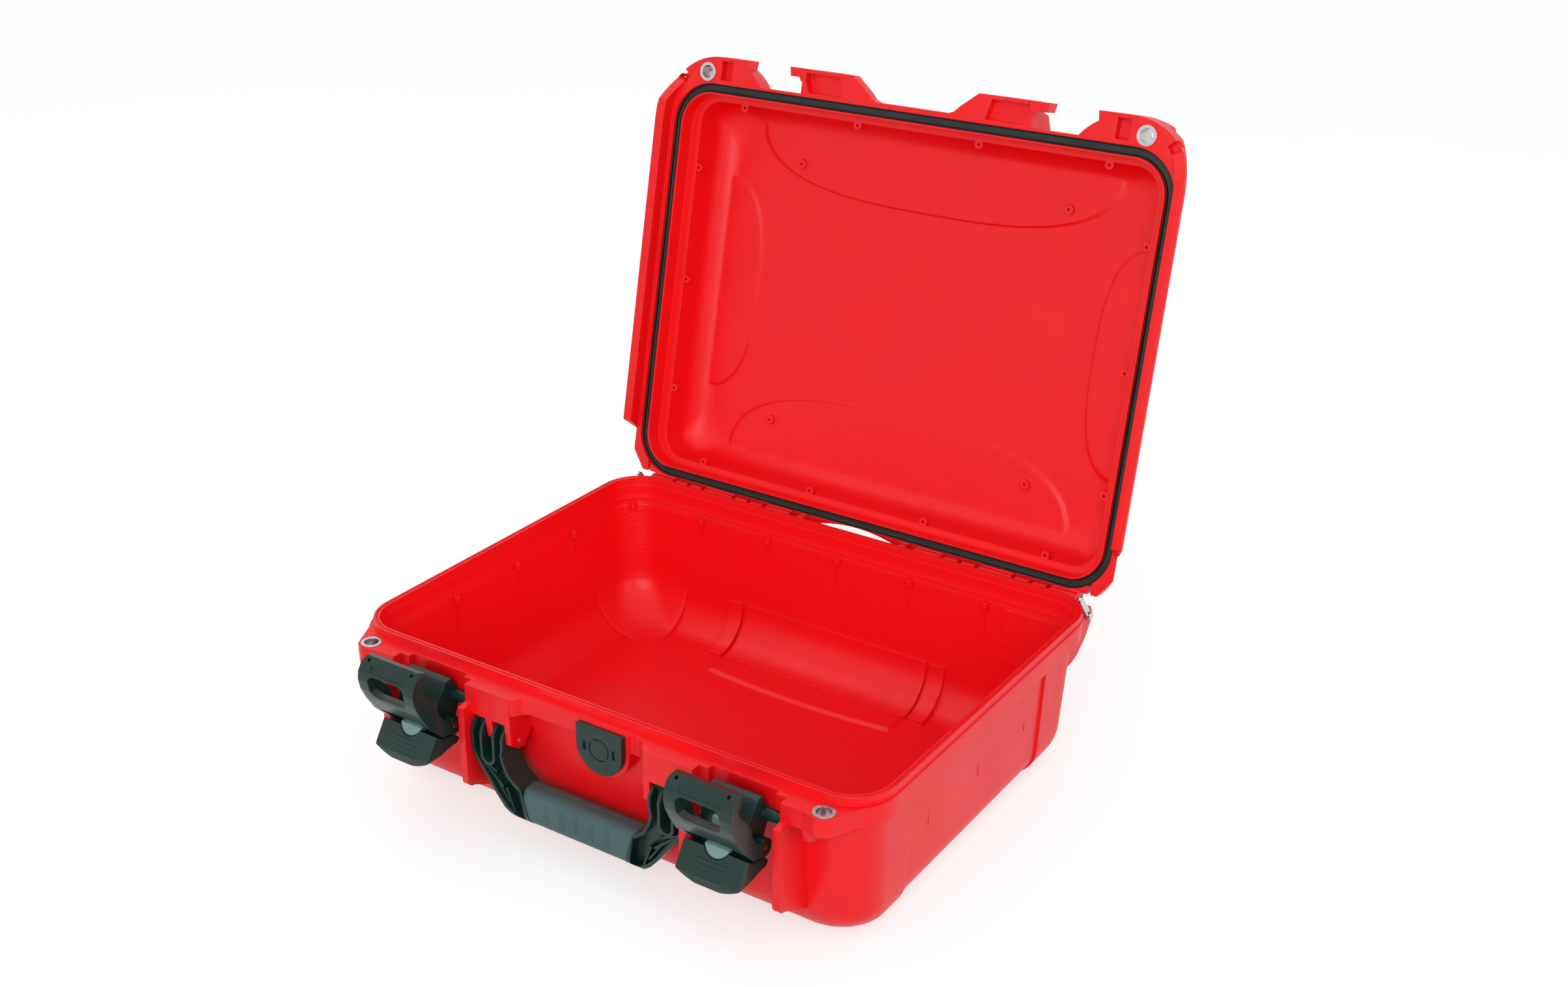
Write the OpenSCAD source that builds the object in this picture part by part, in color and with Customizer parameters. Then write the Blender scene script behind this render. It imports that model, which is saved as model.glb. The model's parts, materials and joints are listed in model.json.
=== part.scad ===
// Hard-shell tool case with a hinged lid, two slide-locked latches, a folding handle,
// a pressure valve, a lid seal and two lid stays. Shown as in use: lid open, latches hanging.
// Origin: centre of the bottom face, front at -Y, hinge at +Y, up +Z. Millimetres.

/* [Base] */
// Height of the base from its bottom to the parting plane
base_h = 120; // [115:1:124]
// Half width of the seal line, from the centre to the middle of the seal
seal_x = 220.2; // [219.6:0.2:220.8]
// Half depth of the seal line
seal_y = 165.05; // [164.5:0.05:165.3]
// Corner radius of the seal line
seal_r = 32; // [30:1:34]
// Thickness of the base side walls
wall = 4; // [3:0.25:5]
// Thickness of the base floor
floor_t = 3.5; // [2.5:0.25:5]
// Inward lean of the base walls, per millimetre of height
draft = 0.045; // [0.02:0.005:0.05]
// Radius of the bottom outer edges
bottom_r = 27; // [24:1:29]
// Height of the band round the top of the base
band_h = 15; // [13:0.5:17]
// Height of the sealing lip above the parting plane
lip_h = 6.2; // [5.6:0.1:6.3]
// Thickness of the sealing lip
lip_t = 4.6; // [4:0.2:4.8]
// Depth of the inner ledge below the parting plane
ledge_z = 12.2; // [11:0.2:13]

/* [Lid] */
// Angle at which the lid rests open
lid_open = 102.26; // [95:0.5:108]
// Height of the lid above the parting plane
lid_h = 58; // [56:1:62]
// Gap between the lid rim and the base when closed
lid_gap = 1.5; // [1:0.1:2]
// Half width of the lid over its side skirts
lid_x = 234.7; // [233.5:0.1:236]
// Height of the lid shoulder above the parting plane
skirt_h = 24; // [22:1:27]
// How far the side skirts hang below the parting plane
skirt_drop = 11; // [9:0.5:12]
// Thickness of the lid top panel
lid_wall = 4; // [3:0.25:5]
// Height of the inner screw ledge above the parting plane
lid_ledge_z = 15.75; // [15:0.25:17]
// Width of the rubber seal
seal_w = 5.4; // [5:0.1:5.6]
// Thickness of the rubber seal
seal_t = 4; // [3.6:0.1:4.4]

/* [Hinge] */
// Distance of the hinge axis behind the centre
hinge_y = 174.4; // [174.2:0.1:175]
// Depth of the hinge axis below the parting plane
hinge_drop = 0.5; // [0.3:0.1:1]
// Radius of the hinge knuckles
knuckle_r = 5.2; // [4.9:0.1:5.3]
// Diameter of the steel hinge pins
hinge_pin_d = 3.6; // [3:0.1:4]
// Running clearance round every pin, on the radius
pin_clear = 0.05; // [0.03:0.01:0.08]
// Clearance between separate moving pieces
gap = 0.4; // [0.3:0.05:0.5]

/* [Padlock eyes] */
// Half distance between the two padlock eyes
eye_x = 195; // [194:0.5:196]
// Distance of the padlock eyes in front of the centre
eye_y = 177.55; // [177:0.1:178]
// Bore of the steel eyelets
eye_bore = 10.5; // [9:0.25:11]
// Diameter of the eyelet flanges
eye_flange_d = 15.3; // [14.8:0.1:16]
// Thickness of the eyelet flanges
eye_flange_t = 0.55; // [0.4:0.05:0.6]

/* [Handle] */
// Distance of the handle pivot in front of the centre
handle_y = 174.65; // [174:0.1:175]
// Depth of the handle pivot below the parting plane
handle_drop = 37; // [36:0.5:38]
// Diameter of the handle pins
handle_pin_d = 4; // [3.5:0.25:4.5]
// Distance from the handle pivot to the lower edge of the grip
handle_reach = 60; // [58:0.5:61]
// Height of the grip
grip_h = 28; // [24:1:29]
// Depth of the grip from front to back
grip_t = 23; // [21:0.5:24]
// Half length of the grip along its upper edge
grip_top_x = 49; // [47:0.5:50]
// Half length of the grip along its lower edge
grip_low_x = 41; // [39:0.5:43]

/* [Latches] */
// Distance of each latch centre from the centre of the case
latch_x = 132.6; // [132:0.1:133.2]
// Width of the opening between the two latch columns
pocket_w = 68.2; // [67.5:0.1:69]
// Thickness of the latch columns
column_t = 5.5; // [5:0.25:6]
// Distance of the latch pivot in front of the centre
pivot_y = 177.65; // [177.2:0.1:178.2]
// Depth of the latch pivot below the parting plane
pivot_drop = 17; // [16.5:0.25:17.5]
// Diameter of the latch pivot pins
pivot_pin_d = 4; // [3.5:0.25:4.5]
// Width of the claw frame over its arms
claw_w = 52; // [50:0.5:53]
// Thickness of each claw arm
arm_t = 7; // [6:0.5:8]
// Diameter of the claw pins
claw_pin_d = 3.6; // [3:0.2:4]
// Width of the grip plate of the latch lever
lever_w = 50; // [46:1:52]
// Travel of the slide lock
slide_travel = 3; // [2:0.25:3.5]

/* [Valve] */
// Distance of the pressure valve from the centre, to the right
valve_x = 16; // [10:1:20]
// Width of the valve cap
valve_w = 39; // [36:1:40]

/* [Screws] */
// Diameter of the pilot holes in the screw bosses
pilot_d = 2.4; // [2:0.2:2.8]
// Outer diameter of the screw bosses
boss_d = 6; // [5.5:0.25:6.5]

/* [Hidden] */
$fn = 48;

RED = "red";
DARK = "darkslategray";
TEAL = "cadetblue";
PALE = "lightblue";
STEEL = "silver";
RUBBER = "black";
SIDES = [-1, 1];
EPS = 0.01;
HULL_SIDES = 48;
FILLET_STEPS = 8;
corner_growth = 0.35;

// Walls of the base
wall_x = seal_x - 3;
wall_y = seal_y - 3.05;
wall_r = seal_r - 3;
inner_top_x = wall_x - wall - 1;
inner_top_y = wall_y - wall - 4;
inner_top_r = wall_r - wall + 1;
ledge_top = base_h - ledge_z;
floor_r = bottom_r + 1;
mouth_x = seal_x - lip_t / 2 - 0.5;
mouth_y = seal_y - lip_t / 2 - 0.5;
mouth_r = seal_r - lip_t / 2 - 0.5;
band_x = seal_x + 3.4;
band_front = seal_y + 7.6;
band_back = seal_y + 3.5;
band_r = seal_r + 5;
band_z = base_h - band_h;
flange_h = 13.5;
flange_z = base_h - flange_h;
flange_front = eye_y + 7.1;
ridge_t = 1.6;
ridge_h = 1;

// Screw bosses, as places on the ledge of the base and of the lid
boss_row_x = [-136.1, -68.06, 0, 68.06, 136.1];
boss_row_y = inner_top_y - 2.2;
boss_side_y = [-70.95, 0.6, 72.15];
boss_side_x = inner_top_x - 2.2;
boss_diagonal = (inner_top_r - 2.2) * cos(45);
boss_corner = [inner_top_x - inner_top_r + boss_diagonal, inner_top_y - inner_top_r + boss_diagonal];
boss_h = 6;
rib_t = 1.4;
rib_out = 1.8;
floor_step_x = 88;
floor_step_y = 86;
recess_t = 1.8;
recess_y = [-100, 97];
rear_fillet_r = 36;
rear_band_x = 88;
pod_x = 150;
pod_y = 97;
pod_r = 39;
lid_row_x = [-164.1, -54.7, 54.7, 164.1];
lid_row_y = seal_y - 13;
lid_boss_h = 6;
lid_side_y = [-97.05, -1.35, 94.25];
lid_side_x = seal_x - 16.4;

// Latch pockets and columns
pocket_in = latch_x - pocket_w / 2;
pocket_out = latch_x + pocket_w / 2;
column_front = pivot_y + 15.5;
column_top_z = base_h - 15;
column_low_z = base_h - 78;
gusset_x = eye_x - 12;
gusset_t = 5;
pivot_z = base_h - pivot_drop;
trunnion_r = 4.4;

// Handle bracket
column_in = pocket_in - column_t;
bracket_in = column_in - 35;
bracket_plate_t = 5;
prong_in = [column_in - 30, column_in - 19];
prong_out = [column_in - 11, column_in];
handle_z = base_h - handle_drop;
handle_play = 0.5;
arm_front = 13;
arm_crown = 13.4;
arm_rim = 2.2;

// Hinge
hinge_z = base_h - hinge_drop;
base_knuckles = [[150.4, 162.1], [165.6, 177.3], [87.6, 99.6], [103, 115]];
lid_knuckles = [[180.6, 203], [118.4, 147], [60, 84.2]];
hinge_pin_in = 61;
hinge_pin_out = 202;

// Lid, given closed
rim_z = base_h + lid_gap;
seal_face_z = base_h + lip_h + 0.3;
seal_top_z = seal_face_z + seal_t;
lid_ledge = base_h + lid_ledge_z;
lid_top = base_h + lid_h;
panel_z = lid_top - lid_wall;
skirt_top = base_h + skirt_h;
lid_r = 52;
lid_step_y = 126;
rim_out = 5.6;
rim_t = 4;
rim_h = 10;
pocket_depth = 9;
skirt_t = 8;
side_top = rim_z + 16;
shoulder_z = base_h - skirt_drop + 3.5;
shoulder_lean = 55;
tab_in = 46;
tab_back = seal_y - 8;
tab_lean = 35;
hood_z = hinge_z + knuckle_r + 1.2;
hood_t = 3;
arch_r = 133;
arch_y = 169.3;
emboss_t = 1.8;
lid_in_x = seal_x - 14.2;
lid_in_y = seal_y - 10.75;
lid_in_r = 20;
lid_mouth_x = seal_x - 5.2;
lid_mouth_y = seal_y - 5.2;
lid_mouth_r = seal_r - 5.2;
tab_front = flange_front + 6;
lip_top = base_h + 16;
tray_x = lid_in_x + lid_wall + 6;
tray_y = lid_in_y + lid_wall + 4;
lid_fillet = 22;
relief_x = seal_x - seal_r + 14;
relief_h = 1.4;
lid_back = hinge_y - knuckle_r - gap;

// Valve
valve_y = band_front + 1.6;
valve_top = base_h - 2;
valve_low = base_h - 37;
cap_t = 4.4;
vent_r = 3;
gasket_r = 12;
gasket_w = 2;
gasket_t = 1.5;
valve_mid = valve_low + valve_w / 2;

// Latch mechanism
hub_y = pivot_y + 10.5;
hub_z = base_h - 35;
hub_r = 6.5;
claw_x = claw_w / 2;
block_x = claw_x - arm_t - gap;
slide_hw = 7;
slide_h = 19;
slide_neck = 5;
slide_lip = 1.6;
button_r = 10.5;

// Stays
stay_x = seal_x - 9.7;
stay_t = 2;
stay_y = hinge_y + 7;
stay_z = base_h - 15;
stay_len = 27;
stay_w = 5.2;
stay_lean = 130;
stay_pin_d = 4;
stay_slot_r = 15.3;
ear_t = 5;

module rounded_rect(hx, hy, r) {
    square([2 * (hx - r), 2 * hy], center = true);
    square([2 * hx, 2 * (hy - r)], center = true);
    for (sx = SIDES, sy = SIDES) translate([sx * (hx - r), sy * (hy - r)]) circle(r);
}

module plate(hx, hy, r, z0, z1) {
    translate([0, 0, z0]) linear_extrude(z1 - z0) rounded_rect(hx, hy, r);
}

// A ring that follows the seal line, from inset `inner` to outset `outer` of it.
module seal_ring(inner, outer, z0, z1) {
    difference() {
        plate(seal_x + outer, seal_y + outer, seal_r + outer, z0, z1);
        plate(seal_x + inner, seal_y + inner, seal_r + inner, z0 - 1, z1 + 1);
    }
}

// A leaning rounded box with a filleted closed end; the closed end is at z0, the open end at z1.
module tub(hx, hy, r, z0, z1, fillet) {
    up = sign(z1 - z0);
    span = abs(z1 - z0);
    hull() {
        for (i = [0 : FILLET_STEPS]) {
            a = 90 * i / FILLET_STEPS;
            rise = fillet * (1 - cos(a));
            inset = fillet * (1 - sin(a)) + draft * (span - rise);
            translate([0, 0, z0 + up * rise - (up < 0 ? EPS : 0)])
                linear_extrude(EPS)
                    rounded_rect(hx - inset, hy - inset, r + inset * corner_growth, $fn = HULL_SIDES);
        }
        translate([0, 0, z1 - (up > 0 ? EPS : 0)])
            linear_extrude(EPS)
                rounded_rect(hx, hy, r, $fn = HULL_SIDES);
    }
}

// A profile drawn as [y, z] points, extruded along X from x0 to x1.
module side_profile(points, x0, x1) {
    translate([x0, 0, 0]) rotate([90, 0, 90]) linear_extrude(x1 - x0) polygon(points);
}

// A cylinder along X from x0 to x1.
module rod(x0, x1, y, z, r) {
    translate([x0, y, z]) rotate([0, 90, 0]) cylinder(r = r, h = x1 - x0);
}

module both_sides() {
    for (s = SIDES) scale([s, 1, 1]) children();
}

// ---------------------------------------------------------------- base

module base_flange_plan() {
    band_cy = (band_back - band_front) / 2;
    translate([0, band_cy]) rounded_rect(band_x, (band_back + band_front) / 2, band_r);
}

module base_front_plan(side) {
    ear_r = eye_flange_d / 2 + 1.9;
    scale([side, 1]) {
        polygon([[pocket_out, -seal_y], [pocket_out, -flange_front], [gusset_x, -flange_front],
            [eye_x, -eye_y - ear_r], [eye_x + ear_r * 0.86, -eye_y - ear_r * 0.5],
            [band_x - 6, -seal_y + 12], [band_x - 20, -seal_y + 20]]);
        translate([eye_x, -eye_y]) circle(ear_r);
        polygon([[column_in - 52, -band_front + 4], [column_in - 52, -band_front], [column_in - 46, -band_front - 1.2],
            [column_in - 41, -band_front - 4], [column_in - 38, -flange_front + 3], [column_in - 34, -flange_front],
            [pocket_in, -flange_front], [pocket_in, -band_front + 4]]);
        translate([pocket_in - EPS, -band_front - 4.5]) square([7.5, 8]);
        translate([pocket_out - 8.5, -band_front - 4.5]) square([8.5 + EPS, 8]);
    }
}

module latch_column(x0) {
    lean = (base_h - column_low_z) * draft;
    foot = column_front - 6;
    side_profile([[-wall_y + 6, base_h - 1], [-flange_front, base_h - 1], [-flange_front, flange_z],
        [-column_front, column_top_z], [-column_front, column_low_z + 5], [-foot, column_low_z - 2],
        [-wall_y + lean - 1, column_low_z - 16], [-wall_y + 10, column_low_z - 16]], x0, x0 + column_t);
    rod(x0, x0 + column_t, -foot, column_low_z + 4, 6);
}

module handle_bracket() {
    front_low = base_h - 22;
    plate_low = handle_z - 6;
    prong_profile = [[-wall_y + 6, base_h - 1], [-flange_front, base_h - 1],
        [-flange_front, front_low]];
    side_profile([[-wall_y + 6, base_h - 1], [-flange_front, base_h - 1], [-flange_front, front_low],
        [-wall_y + 6, front_low]], bracket_in, pocket_in);
    side_profile(concat(prong_profile, [[-flange_front, handle_z], [-handle_y - 2, plate_low],
        [-handle_y + 4, plate_low], [-wall_y + 8, plate_low + 18]]), bracket_in, bracket_in + bracket_plate_t);
    side_profile(concat(prong_profile, [[-flange_front + 2, handle_z], [-handle_y - 3, plate_low + 1],
        [-handle_y + 3, plate_low + 1], [-wall_y + 8, plate_low + 16]]), prong_in[1] + 1, prong_out[0] - 1);
}

module eye_gusset() {
    side_profile([[-wall_y + 6, base_h - 1], [-flange_front, base_h - 1], [-flange_front, pivot_z + 1],
        [-pivot_y - 5, pivot_z - 6], [-pivot_y + 4, pivot_z - 9], [-wall_y + 6, pivot_z - 9]],
        gusset_x, gusset_x + gusset_t);
}

module valve_outline(hw, top, low) {
    translate([-hw, low + hw]) square([2 * hw, top - low - hw]);
    intersection() {
        translate([0, low + hw]) circle(hw);
        translate([-hw, low]) square([2 * hw, top - low]);
    }
}

module base_knuckle(span) {
    rod(span[0], span[1], hinge_y, hinge_z, knuckle_r);
    side_profile([[wall_y - 6, base_h - 3], [hinge_y, base_h - 3], [hinge_y + knuckle_r, hinge_z],
        [hinge_y + knuckle_r, hinge_z - 2], [wall_y - 1, hinge_z - 22], [wall_y - 6, hinge_z - 22]],
        span[0], span[1]);
}

module stay_ear() {
    side_profile([[wall_y - 12, stay_z + 12], [band_back - 2, stay_z + 12], [hinge_y + 2, stay_z + 8],
        [stay_y + 6, stay_z + 5], [stay_y + 10, stay_z - 1], [stay_y + 9, stay_z - 9], [stay_y, stay_z - 20],
        [wall_y + 7, stay_z - 29], [wall_y - 3, stay_z - 32], [wall_y - 12, stay_z - 32]],
        stay_x - stay_t / 2 - gap - ear_t, stay_x - stay_t / 2 - gap);
}

module base_boss(x, y) {
    translate([x, y, ledge_top - boss_h]) difference() {
        cylinder(d = boss_d, h = boss_h);
        translate([0, 0, 2]) cylinder(d = pilot_d, h = boss_h);
    }
}

// Thin ribs that run down the inner walls below the bosses and fade into the lean of the walls.
module wall_ribs() {
    rib_h = 44;
    for (x = boss_row_x, s = SIDES)
        translate([x - rib_t / 2, s > 0 ? inner_top_y - rib_out : -inner_top_y - 1, ledge_top - boss_h - rib_h])
            cube([rib_t, rib_out + 1, rib_h + 1]);
    for (y = boss_side_y, s = SIDES)
        translate([s > 0 ? inner_top_x - rib_out : -inner_top_x - 1, y - rib_t / 2, ledge_top - boss_h - rib_h])
            cube([rib_out + 1, rib_t, rib_h + 1]);
}

// Raised bar with round ends across the rear of the floor.
module floor_step_outline(inset) {
    half = floor_step_x - inset;
    rear = inner_top_y - rear_fillet_r - 4;
    polygon(concat([for (i = [-10 : 10]) [i * half / 10, floor_step_y + inset + 0.055 * i * i]],
        [[half, rear], [-half, rear]]));
}

// The slightly higher floor along the rear, with a bowed and sloping front edge.
module floor_step() {
    hull() {
        translate([0, 0, floor_t - 1]) linear_extrude(1) floor_step_outline(0);
        translate([0, 0, floor_t + 1.8]) linear_extrude(0.2) floor_step_outline(2.4);
    }
}

// The rear floor edge is fuller in the middle and ends in a band at each side.
module rear_floor_fillet() {
    top_z = floor_t + rear_fillet_r;
    mid_y = inner_top_y - draft * (ledge_top - floor_t) + 2;
    for (span = [[-rear_band_x, rear_band_x, 0], [-rear_band_x - 17, -rear_band_x - 3, 1],
            [rear_band_x + 3, rear_band_x + 17, 1]])
        difference() {
            translate([span[0], mid_y - rear_fillet_r, floor_t - 1])
                cube([span[1] - span[0], rear_fillet_r, rear_fillet_r + 1]);
            rod(span[0] - 1, span[1] + 1, mid_y - rear_fillet_r, top_z, rear_fillet_r - 1.5 - span[2]);
        }
}

module base_bosses() {
    for (x = boss_row_x, s = SIDES) base_boss(x, s * boss_row_y);
    for (y = boss_side_y, s = SIDES) base_boss(s * boss_side_x, y);
    for (sx = SIDES, sy = SIDES) base_boss(sx * boss_corner[0], sy * boss_corner[1]);
}

// The shallow recess along each side wall, between the fuller corners.
module side_recess() {
    difference() {
        translate([-wall_x - 1, recess_y[0], -1]) cube([2 * wall_x + 2, recess_y[1] - recess_y[0], band_z + 1]);
        tub(wall_x - recess_t, wall_y, wall_r, 0, base_h - 2, bottom_r);
    }
}

module base_shell() {
    color(RED) {
        difference() {
            union() {
                tub(wall_x, wall_y, wall_r, 0, base_h - 2, bottom_r);
                translate([0, 0, band_z]) linear_extrude(band_h) base_flange_plan();
                for (s = SIDES) translate([0, 0, flange_z]) linear_extrude(flange_h) base_front_plan(s);
                seal_ring(-lip_t / 2, lip_t / 2, base_h - 1, base_h + lip_h - ridge_h);
                seal_ring(-lip_t / 2, -lip_t / 2 + ridge_t, base_h, base_h + lip_h);
                seal_ring(lip_t / 2 - ridge_t, lip_t / 2, base_h, base_h + lip_h);
                both_sides() {
                    latch_column(column_in);
                    latch_column(pocket_out);
                    handle_bracket();
                    eye_gusset();
                    for (span = base_knuckles) base_knuckle(span);
                    stay_ear();
                }
                on_valve(wall_y - 6)
                    linear_extrude(valve_y - wall_y + 6) valve_outline(valve_w / 2 + 3, base_h - 1, valve_low - 3);
            }
            difference() {
                tub(inner_top_x, inner_top_y, inner_top_r, floor_t, ledge_top + EPS, floor_r);
                both_sides() translate([pod_x, pod_y, 0]) cube([wall_x - pod_x, wall_y - pod_y, floor_t + pod_r]);
            }
            tub(inner_top_x, inner_top_y, inner_top_r, floor_t, ledge_top + EPS, pod_r);
            side_recess();
            plate(mouth_x, mouth_y, mouth_r, ledge_top, base_h + lip_h + 1);
            both_sides() {
                translate([eye_x, -eye_y, flange_z - 1]) cylinder(d = eye_bore + 2, h = band_h);
                rod(column_in - 1, gusset_x + gusset_t - 2, -pivot_y, pivot_z, pivot_pin_d / 2);
                rod(bracket_in - 1, pocket_in + 1, -handle_y, handle_z, handle_pin_d / 2);
                rod(pocket_in, pocket_out, -pivot_y, pivot_z, trunnion_r + gap);
                rod(hinge_pin_in, hinge_pin_out, hinge_y, hinge_z, hinge_pin_d / 2);
                rod(stay_x - 10, stay_x, stay_y, stay_z, stay_pin_d / 2);
                for (span = lid_knuckles) rod(span[0] - gap, span[1] + gap, hinge_y, hinge_z, knuckle_r + gap);
            }
            on_valve(valve_y - gasket_t) translate([0, valve_mid, 0]) difference() {
                cylinder(r = gasket_r, h = gasket_t + 1);
                translate([0, 0, -1]) cylinder(r = gasket_r - gasket_w, h = gasket_t + 3);
            }
            on_valve(valve_y - 40) translate([0, valve_mid, 0]) cylinder(r = vent_r, h = 41);
        }
        base_bosses();
        wall_ribs();
        floor_step();
        rear_floor_fillet();
    }
}

module base_eyelet(x) {
    translate([x, -eye_y, flange_z]) difference() {
        union() {
            cylinder(d = eye_bore + 2, h = flange_h);
            translate([0, 0, flange_h]) cylinder(d = eye_flange_d, h = eye_flange_t);
            translate([0, 0, -eye_flange_t]) cylinder(d = eye_flange_d, h = eye_flange_t);
        }
        translate([0, 0, -1 - eye_flange_t]) cylinder(d = eye_bore, h = flange_h + 2 + 2 * eye_flange_t);
    }
}

module base_eyelets() {
    color(STEEL) for (s = SIDES) base_eyelet(s * eye_x);
}

// ---------------------------------------------------------------- lid

// Turns what is drawn closed to where the lid rests open.
module opened() {
    translate([0, hinge_y, hinge_z]) rotate([-lid_open, 0, 0]) translate([0, -hinge_y, -hinge_z]) children();
}

module lid_rim_plan() {
    difference() {
        union() {
            rounded_rect(seal_x + 4, seal_y + 3.5, seal_r + 4);
            translate([0, -seal_y]) square([2 * (seal_x - seal_r), 2 * rim_out], center = true);
            for (s = SIDES) scale([s, 1]) {
                polygon([[lid_x - 54.7, 0], [lid_x, 0], [lid_x, lid_step_y], [lid_x - 3.2, lid_step_y + 6],
                    [lid_x - 6.2, lid_back - 16], [lid_x - 17.7, lid_back], [lid_x - 54.7, lid_back]]);
                translate([lid_x - lid_r, -tab_front + lid_r]) circle(lid_r);
                polygon([[180, 0], [lid_x, 0], [lid_x, -tab_front + lid_r], [lid_x - lid_r, -tab_front + lid_r],
                    [lid_x - lid_r, -seal_y - 3], [180, -seal_y - 3]]);
                polygon([[0, -seal_y], [0, -band_front], [tab_in - 14, -band_front], [tab_in - 9, -band_front - 2],
                    [tab_in - 4, -eye_y - 2], [tab_in, -seal_y]]);
                lid_corner_tab_plan();
                lid_centre_tab_plan();
            }
        }
        rounded_rect(seal_x - 8, seal_y - 8, seal_r - 8);
    }
}

// The side shoulders, which slope up from the rim to the body of the lid.
module lid_side_plan() {
    for (s = SIDES) scale([s, 1]) {
        polygon([[lid_x - 54.7, -seal_y - 3], [lid_x - lid_r, -seal_y - 3], [lid_x - lid_r, -tab_front + lid_r],
            [lid_x, -tab_front + lid_r], [lid_x, lid_step_y], [lid_x - 5.2, lid_step_y + 8],
            [lid_x - 54.7, lid_step_y + 8]]);
        translate([lid_x - lid_r, -tab_front + lid_r]) circle(lid_r);
    }
}

// The skirts that hang outside the band of the base along its sides.
module lid_skirts() {
    skirt_z = base_h - skirt_drop;
    fade_y = lid_r - tab_front;
    intersection() {
        translate([0, 0, skirt_z]) linear_extrude(skirt_drop + lid_gap + rim_t) difference() {
            lid_side_plan();
            square([2 * (lid_x - skirt_t), 2 * (tab_front - lid_r)], center = true);
            translate([-lid_x + skirt_t, -10]) square([2 * (lid_x - skirt_t), lid_step_y + 30]);
            for (s = SIDES) translate([s * (lid_x - lid_r), fade_y]) circle(lid_r - skirt_t);
            translate([-lid_x + lid_r, -tab_front - 1]) square([2 * (lid_x - lid_r), tab_front]);
        }
        side_profile([[fade_y - 30, rim_z], [fade_y - 12, skirt_z + 0.6], [fade_y + 4, skirt_z],
            [lid_step_y, skirt_z], [lid_step_y + 8, rim_z], [lid_step_y + 8, rim_z + rim_t],
            [fade_y - 30, rim_z + rim_t]], -lid_x - 1, lid_x + 1);
    }
}

module lid_corner_tab_plan() {
    polygon([[161.5, -tab_back], [161.5, -eye_y - 3], [167, -eye_y - 6], [167, -tab_front],
        [lid_x - lid_r, -tab_front], [lid_x - lid_r, -tab_back]]);
    intersection() {
        translate([lid_x - lid_r, -tab_front + lid_r]) circle(lid_r);
        polygon([[lid_x - lid_r - 1, -tab_front], [lid_x - 30, -tab_front], [lid_x - 24, -tab_back],
            [lid_x - lid_r - 1, -tab_back]]);
    }
}

module lid_centre_tab_plan() {
    polygon([[102.7, -tab_back], [102.7, -eye_y - 3], [98, -eye_y - 6], [98, -tab_front],
        [tab_in + 10, -tab_front], [tab_in - 4, -eye_y - 2], [tab_in - 9, -band_front],
        [tab_in - 9, -tab_back]]);
}

// The tabs lean back above the latch lips, and the centre tabs also lean away from the middle.
module lid_tabs() {
    lean_top = skirt_top + 14;
    difference() {
        intersection() {
            translate([0, 0, rim_z]) linear_extrude(lean_top - rim_z) {
                lid_corner_tab_plan();
                lid_centre_tab_plan();
            }
            side_profile([[-tab_front - 1, rim_z], [-tab_front - 1, skirt_top - 1], [-seal_y - 5, lean_top],
                [-tab_back, lean_top], [-tab_back, rim_z]], tab_in - 40, lid_x);
        }
        translate([tab_in + 10, -tab_front, rim_z + rim_t]) rotate([0, 0, 134]) rotate([tab_lean, 0, 0])
            translate([-30, 0, 0]) cube([90, 60, 60]);
    }
}

// Lips that the latch claws hook over.
module lid_lip_plan() {
    polygon([[pocket_in, -tab_front], [pocket_in + 16.8, -tab_front], [pocket_in + 15.5, -eye_y - 6],
        [pocket_in + 7, -eye_y - 6], [pocket_in + 5.7, -eye_y - 3], [pocket_in, -eye_y - 3]]);
    polygon([[pocket_out, -tab_front], [pocket_out - 11.5, -tab_front], [pocket_out - 10.5, -eye_y - 6],
        [pocket_out - 6, -eye_y - 5], [pocket_out - 6.5, -eye_y - 3], [pocket_out, -eye_y - 3]]);
}

// Pockets moulded into the underside of the tabs and corners.
module lid_pocket_plan() {
    polygon([[pocket_out + 4, -seal_y - 7], [pocket_out + 4, -tab_front + 3], [pocket_out + 15, -tab_front + 3],
        [pocket_out + 15, -seal_y - 7]]);
    polygon([[pocket_in - 35, -seal_y - 7], [pocket_in - 31, -tab_front + 3], [pocket_in + 1, -tab_front + 3],
        [pocket_in + 1, -eye_y - 4], [pocket_in - 3, -seal_y - 7]]);
    polygon([[seal_x - 8, -seal_y - 7], [seal_x - 1, -seal_y - 13], [seal_x + 3, -seal_y - 5],
        [seal_x - 4, -seal_y - 1]]);
    polygon([[seal_x + 1, -seal_y + 1], [seal_x + 5, -seal_y - 3], [seal_x + 12, -seal_y + 10],
        [seal_x + 7, -seal_y + 14]]);
    polygon([[seal_x + 9, -seal_y + 20], [seal_x + 14, -seal_y + 20], [seal_x + 14, -seal_y + 44],
        [seal_x + 10, -seal_y + 44]]);
}

module lid_knuckle(span) {
    rod(span[0], span[1], hinge_y, hinge_z, knuckle_r);
    side_profile([[lid_back - 4, hinge_z + 3], [hinge_y, hinge_z], [hinge_y + knuckle_r, hinge_z],
        [hinge_y + 2, hinge_z + 9], [lid_back - 4, hinge_z + 16]], span[0], span[1]);
}

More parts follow.
